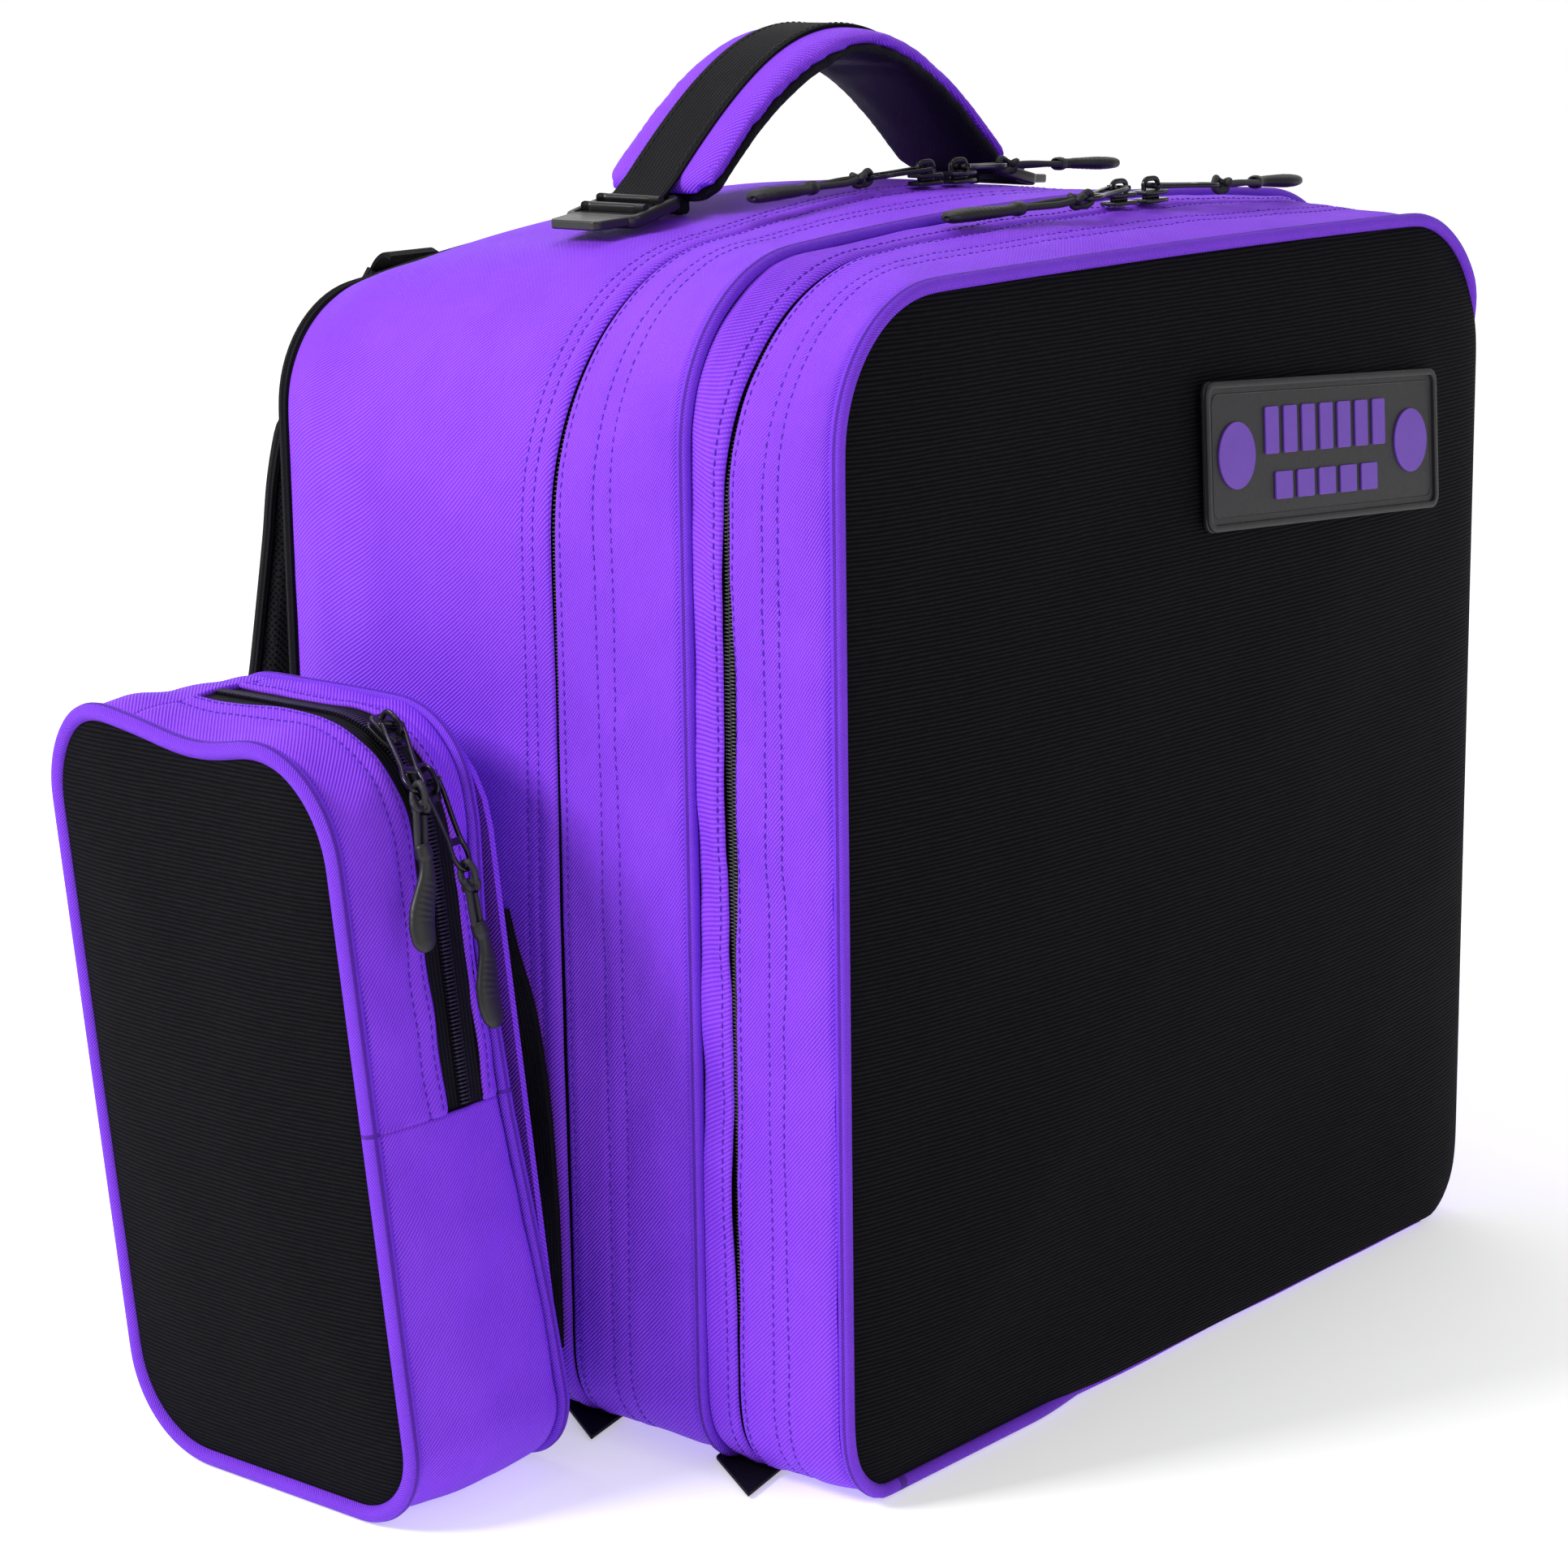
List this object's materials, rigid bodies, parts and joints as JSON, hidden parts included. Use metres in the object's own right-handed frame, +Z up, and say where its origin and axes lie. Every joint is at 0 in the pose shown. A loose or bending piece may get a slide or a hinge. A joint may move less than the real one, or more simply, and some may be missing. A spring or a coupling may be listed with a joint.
{
  "type": "two-compartment backpack with side pocket",
  "caption": "Boxy padded sports backpack in purple and black fabric with piped seams, zipped front and main sections, a side pocket, carry handle and shoulder straps.",
  "frame": {"origin": "centre of the bounding box at floor level", "axes": "+X to the right when facing the front panel, +Y from the front to the back, +Z up"},
  "size_m": [0.5128, 0.3651, 0.4853],
  "materials": {
    "purple_fabric": "twill",
    "purple_trim": "satin",
    "ribbed_black": "ribbed",
    "patch_rubber": "matte",
    "pull_metal": "satin",
    "grip_rubber": "matte",
    "buckle_plastic": "satin",
    "zip_tape": "woven",
    "lining": "woven",
    "pad_fabric": "mesh",
    "black_webbing": "woven"
  },
  "bodies": {
    "bag_body": {"base_panel": "purple_fabric", "rear_gusset": "purple_fabric", "main_zip_rear_tape": "zip_tape", "back_panel": "ribbed_black", "back_binding": "black_webbing", "strap_yoke": "black_webbing", "pocket_outer_panel": "ribbed_black", "pocket_outer_piping": "purple_trim", "pocket_gusset": "purple_fabric", "pocket_inner_piping": "purple_trim", "pocket_back_panel": "purple_fabric", "pocket_zip": "zip_tape", "pocket_mounts": "black_webbing", "side_webbing": "black_webbing", "base_tabs": "black_webbing", "handle_buckles": "buckle_plastic", "handle_anchors": "black_webbing", "strap_base_tabs": "black_webbing"},
    "mid_section": {"front_zip_body_tape": "zip_tape", "mid_gusset_front": "purple_fabric", "mid_piping": "purple_trim", "divider_panel": "lining", "mid_gusset_rear": "purple_fabric", "main_zip_front_tape": "zip_tape"},
    "front_cover": {"front_panel": "ribbed_black", "front_stiffener": "lining", "emblem_patch": "patch_rubber", "emblem_motif": "purple_trim", "front_piping": "purple_trim", "front_gusset": "purple_fabric", "front_zip_cover_tape": "zip_tape"},
    "pocket_flap": {"pocket_flap": "ribbed_black"},
    "handle": {"handle_pad": "purple_fabric", "handle_webbing": "black_webbing"},
    "left_strap": {"left_strap_pad": "pad_fabric", "left_strap_webbing": "black_webbing", "left_strap_adjuster": "buckle_plastic", "left_strap_tail": "black_webbing"},
    "right_strap": {"right_strap_pad": "pad_fabric", "right_strap_webbing": "black_webbing", "right_strap_adjuster": "buckle_plastic", "right_strap_tail": "black_webbing"},
    "front_left_slider": {"front_left_slider": "pull_metal"},
    "front_left_pull": {"front_left_tab": "pull_metal", "front_left_grip": "grip_rubber"},
    "front_right_slider": {"front_right_slider": "pull_metal"},
    "front_right_pull": {"front_right_tab": "pull_metal", "front_right_grip": "grip_rubber"},
    "main_left_slider": {"main_left_slider": "pull_metal"},
    "main_left_pull": {"main_left_tab": "pull_metal", "main_left_grip": "grip_rubber"},
    "main_right_slider": {"main_right_slider": "pull_metal"},
    "main_right_pull": {"main_right_tab": "pull_metal", "main_right_grip": "grip_rubber"},
    "pocket_top_slider": {"pocket_top_slider": "pull_metal"},
    "pocket_top_pull": {"pocket_top_tab": "pull_metal", "pocket_top_grip": "grip_rubber"},
    "pocket_front_slider": {"pocket_front_slider": "pull_metal"},
    "pocket_front_pull": {"pocket_front_tab": "pull_metal", "pocket_front_grip": "grip_rubber"}
  },
  "joints": [
    {"name": "main_flap_hinge", "type": "hinge", "parent": "bag_body", "child": "mid_section", "pos_m": [0.0528, -0.166, 0], "axis": [1, 0, 0], "range_deg": [0, 13]},
    {"name": "front_cover_hinge", "type": "hinge", "parent": "mid_section", "child": "front_cover", "pos_m": [0.0528, -0.166, 0], "axis": [1, 0, 0], "range_deg": [0, 64]},
    {"name": "pocket_flap_hinge", "type": "hinge", "parent": "bag_body", "child": "pocket_flap", "pos_m": [-0.2567, 0.00924, 0.20115], "axis": [0, -0.6627, -0.7489], "range_deg": [0, 60]},
    {"name": "front_left_slide", "type": "slide", "parent": "mid_section", "child": "front_left_slider", "axis": [-1, 0, -0.0068], "range_m": [0, 0.06]},
    {"name": "front_left_lift", "type": "hinge", "parent": "front_left_slider", "child": "front_left_pull", "pos_m": [0.0708, -0.118, 0.42741], "axis": [-0.2419, 0.9703, 0], "range_deg": [0, 85]},
    {"name": "front_right_slide", "type": "slide", "parent": "mid_section", "child": "front_right_slider", "axis": [0.9993, 0, -0.0384], "range_m": [0, 0.06]},
    {"name": "front_right_lift", "type": "hinge", "parent": "front_right_slider", "child": "front_right_pull", "pos_m": [0.0908, -0.118, 0.42709], "axis": [-0.2419, -0.9703, 0], "range_deg": [0, 85]},
    {"name": "main_left_slide", "type": "slide", "parent": "bag_body", "child": "main_left_slider", "axis": [-0.9993, 0, -0.0384], "range_m": [0, 0.06]},
    {"name": "main_left_lift", "type": "hinge", "parent": "main_left_slider", "child": "main_left_pull", "pos_m": [0.0588, -0.039, 0.43247], "axis": [0.0698, 0.9976, 0], "range_deg": [0, 85]},
    {"name": "main_right_slide", "type": "slide", "parent": "bag_body", "child": "main_right_slider", "axis": [0.996, 0, -0.0894], "range_m": [0, 0.06]},
    {"name": "main_right_lift", "type": "hinge", "parent": "main_right_slider", "child": "main_right_pull", "pos_m": [0.0788, -0.039, 0.43196], "axis": [0.1045, -0.9945, 0], "range_deg": [0, 85]},
    {"name": "pocket_top_slide", "type": "hinge", "parent": "pocket_flap", "child": "pocket_top_slider", "pos_m": [-0.2062, 0.00946, 0.2193], "axis": [1, 0, 0], "range_deg": [-22, 0]},
    {"name": "pocket_top_lift", "type": "hinge", "parent": "pocket_top_slider", "child": "pocket_top_pull", "pos_m": [-0.2062, -0.01927, 0.26526], "axis": [-0.9272, 0.3177, 0.1985], "range_deg": [0, 70]},
    {"name": "pocket_front_slide", "type": "hinge", "parent": "pocket_flap", "child": "pocket_front_slider", "pos_m": [-0.2062, 0.00946, 0.2193], "axis": [1, 0, 0], "range_deg": [0, 10]},
    {"name": "pocket_front_lift", "type": "hinge", "parent": "pocket_front_slider", "child": "pocket_front_pull", "pos_m": [-0.2062, -0.03651, 0.24802], "axis": [-0.9994, -0.0185, -0.0296], "range_deg": [0, 70]},
    {"name": "handle_swing", "type": "hinge", "parent": "bag_body", "child": "handle", "pos_m": [0.0528, 0.01, 0.41955], "axis": [1, 0, 0], "range_deg": [-40, 24]},
    {"name": "left_strap_swing", "type": "hinge", "parent": "bag_body", "child": "left_strap", "pos_m": [-0.0632, 0.115, 0.24], "axis": [0, 0, 1], "range_deg": [-15, 15]},
    {"name": "right_strap_swing", "type": "hinge", "parent": "bag_body", "child": "right_strap", "pos_m": [0.1688, 0.115, 0.24], "axis": [0, 0, 1], "range_deg": [-15, 15]}
  ]
}
